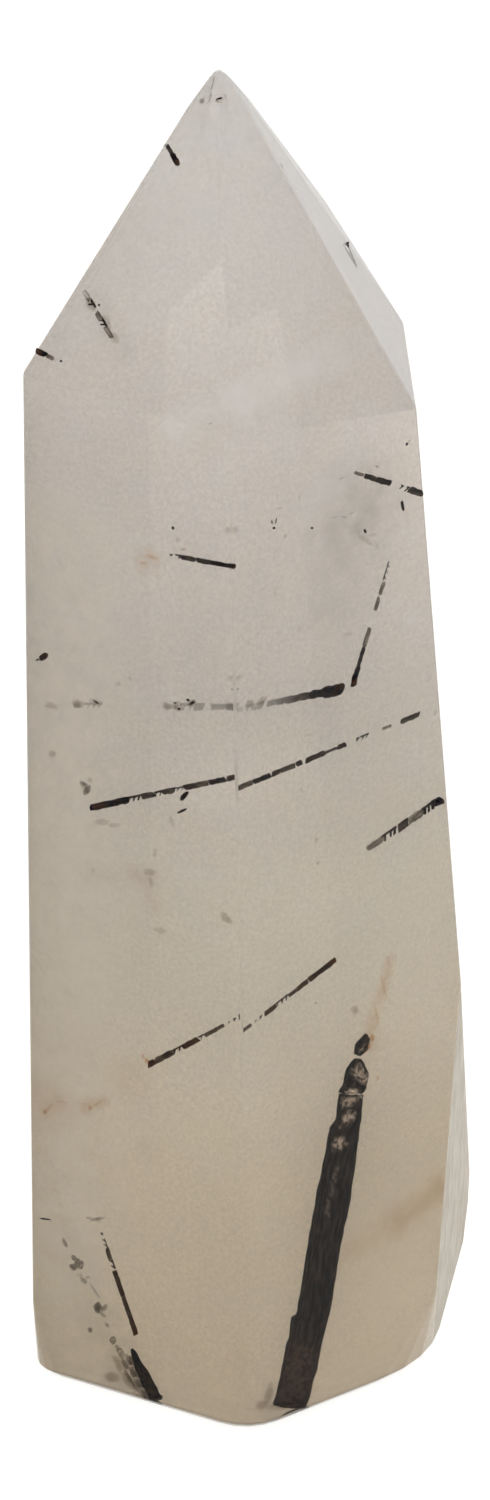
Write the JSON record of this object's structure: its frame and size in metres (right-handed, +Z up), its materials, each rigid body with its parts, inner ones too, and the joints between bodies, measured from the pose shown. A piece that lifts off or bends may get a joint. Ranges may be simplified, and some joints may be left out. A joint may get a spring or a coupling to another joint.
{
  "type": "tourmalinated quartz point",
  "caption": "Free-standing polished point of milky quartz with black tourmaline needles grown through it, cut flat at its base.",
  "frame": {"origin": "middle of the object's box, at the height of the flat base", "axes": "+Z up along the crystal from its base to its tip, viewer at -Y, +X to the viewer's right"},
  "size_m": [0.033, 0.0346, 0.0997],
  "materials": {
    "quartz": "polished milky quartz",
    "tourmaline": "black glassy striated tourmaline"
  },
  "bodies": {
    "root": {"quartz_point": "quartz", "rod_tip": "tourmaline", "rod_crown": "tourmaline", "big_rod": "tourmaline", "smoky_rod": "tourmaline", "short_needle": "tourmaline", "corner_needle": "tourmaline", "long_needle": "tourmaline", "blunt_needle": "tourmaline", "steep_needle": "tourmaline", "edge_needle": "tourmaline", "shoulder_needle": "tourmaline", "rusty_needle": "tourmaline", "left_stub": "tourmaline", "tip_needle": "tourmaline", "tip_sliver": "tourmaline", "ghost_needle": "tourmaline", "shoulder_dash": "tourmaline"}
  },
  "joints": []
}
